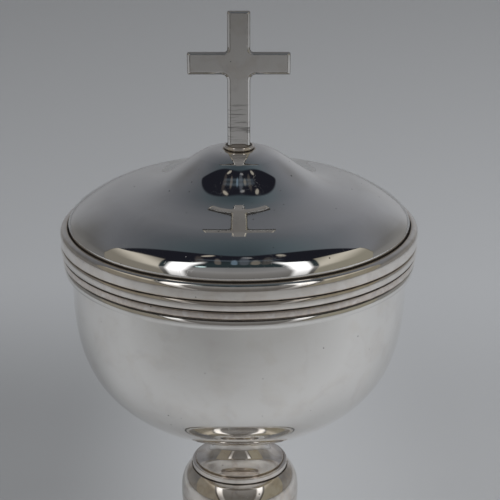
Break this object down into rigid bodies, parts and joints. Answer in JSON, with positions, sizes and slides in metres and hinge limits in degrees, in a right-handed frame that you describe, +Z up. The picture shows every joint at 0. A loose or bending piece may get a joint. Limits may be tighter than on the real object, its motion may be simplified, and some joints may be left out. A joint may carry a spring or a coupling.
{
  "type": "ciborium",
  "caption": "Covered cup with a lift-off domed lid, plain cross finial, banded rim, ball-shaped knop on a waisted stem and a spreading round foot.",
  "frame": {"origin": "centre of the foot's underside, on the axis of the stem", "axes": "+Z up along the stem, the cross's flat front facing -Y and its arms along X"},
  "size_m": [0.1084, 0.1084, 0.2333],
  "materials": {
    "polished_silver": "polished silver with light tarnish and fine wear",
    "gilt": "thin, worn gilding on silver, satin",
    "plain_silver": "unpolished silver, dull",
    "steel": "plain threaded steel, darkened"
  },
  "bodies": {
    "cup": {"foot_rim_moulding": "polished_silver", "foot": "polished_silver", "stem_foot_ring": "polished_silver", "lower_stem": "polished_silver", "knop_ring_lower": "polished_silver", "knop_lower_half": "polished_silver", "knop_upper_half": "polished_silver", "knop_ring_upper": "polished_silver", "stem_collar": "polished_silver", "bowl": "polished_silver", "bowl_rim_wire": "polished_silver", "bowl_boss": "plain_silver", "tie_rod": "steel", "foot_washer": "plain_silver", "foot_nut": "steel"},
    "cover": {"cover_dome": "polished_silver", "cover_upper_band": "polished_silver", "cover_bead": "polished_silver", "cover_lower_band": "polished_silver", "cover_bezel": "gilt", "cross_seat": "polished_silver", "cross": "polished_silver", "cross_stud": "plain_silver", "cross_washer": "plain_silver", "cross_nut": "plain_silver"}
  },
  "joints": [
    {"name": "cover_lift", "type": "slide", "parent": "cup", "child": "cover", "axis": [0, 0, 1], "range_m": [0, 0.1]}
  ]
}
